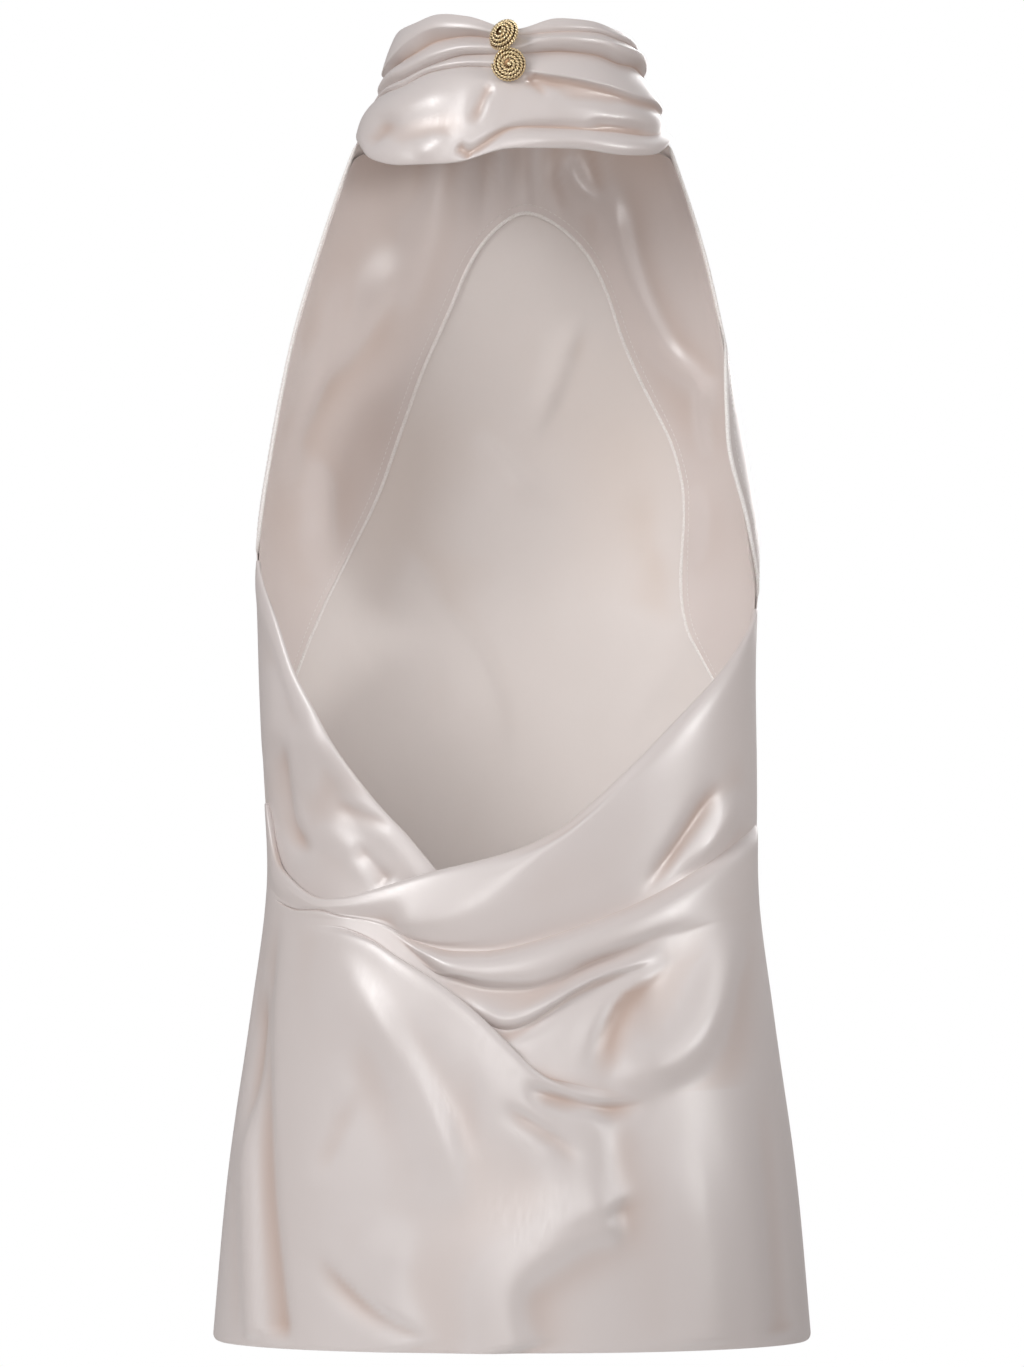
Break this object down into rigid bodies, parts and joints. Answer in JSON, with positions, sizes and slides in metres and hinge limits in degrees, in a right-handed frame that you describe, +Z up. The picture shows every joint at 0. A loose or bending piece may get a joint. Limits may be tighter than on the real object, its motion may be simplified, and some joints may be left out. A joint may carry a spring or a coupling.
{
  "type": "halter neck top",
  "caption": "Sleeveless satin halter top, open at the back, with a gathered collar closed by domed buttons and a crossed cowl drape over the lower back.",
  "frame": {"origin": "middle of the collar, where the wearer's neck carries the top", "axes": "+Z up along the wearer, +Y to the wearer's front, +X to the wearer's right, so the open back and the buttons face -Y"},
  "size_m": [0.3474, 0.2388, 0.7618],
  "materials": {
    "satin": "satin",
    "satin_facing": "satin",
    "button_metal": "antique gold"
  },
  "bodies": {
    "root": {"front": "satin", "front_facing": "satin_facing", "collar": "satin", "back_under_layer": "satin", "back_drape": "satin", "button_upper": "button_metal", "button_lower": "button_metal"}
  },
  "joints": []
}
